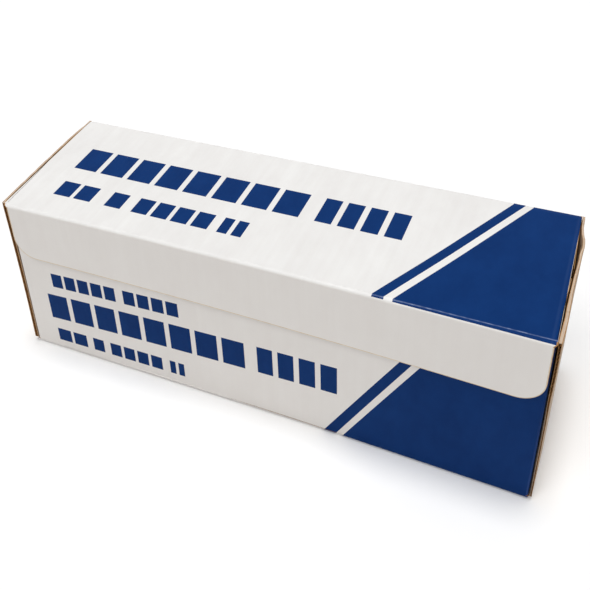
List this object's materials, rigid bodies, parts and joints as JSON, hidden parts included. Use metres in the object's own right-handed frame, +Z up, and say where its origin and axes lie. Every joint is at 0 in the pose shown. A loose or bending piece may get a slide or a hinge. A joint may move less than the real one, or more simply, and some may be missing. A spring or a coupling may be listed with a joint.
{
  "type": "boxed aluminium foil roll",
  "caption": "Long corrugated carton with a hinged lid and a front flap over the front wall, holding a wide roll of aluminium foil on a card tube.",
  "frame": {"origin": "middle of the carton's underside, on the table, with the lid's front flap counted in the depth", "axes": "+X along the roll, -Y out of the front wall that the lid's flap covers, +Z up"},
  "size_m": [0.3234, 0.1024, 0.116],
  "materials": {
    "board": "white printed corrugated board, kraft at the ends",
    "lid_board": "white printed corrugated board",
    "flap_board": "white corrugated board",
    "foil": "bright rolled foil",
    "card": "plain wound card",
    "steel": "thin stamped strip"
  },
  "bodies": {
    "base": {"carton_base": "board", "foil_roll": "foil", "core_tube": "card", "cutter_blade": "steel"},
    "lid": {"carton_lid": "lid_board"},
    "flap": {"lid_front_flap": "flap_board"}
  },
  "joints": [
    {"name": "lid_hinge", "type": "hinge", "parent": "base", "child": "lid", "pos_m": [0, 0.0512, 0.116], "axis": [-1, 0, 0], "range_deg": [0, 180]},
    {"name": "flap_fold", "type": "hinge", "parent": "lid", "child": "flap", "pos_m": [0, -0.0512, 0.116], "axis": [-1, 0, 0], "range_deg": [0, 90]}
  ]
}
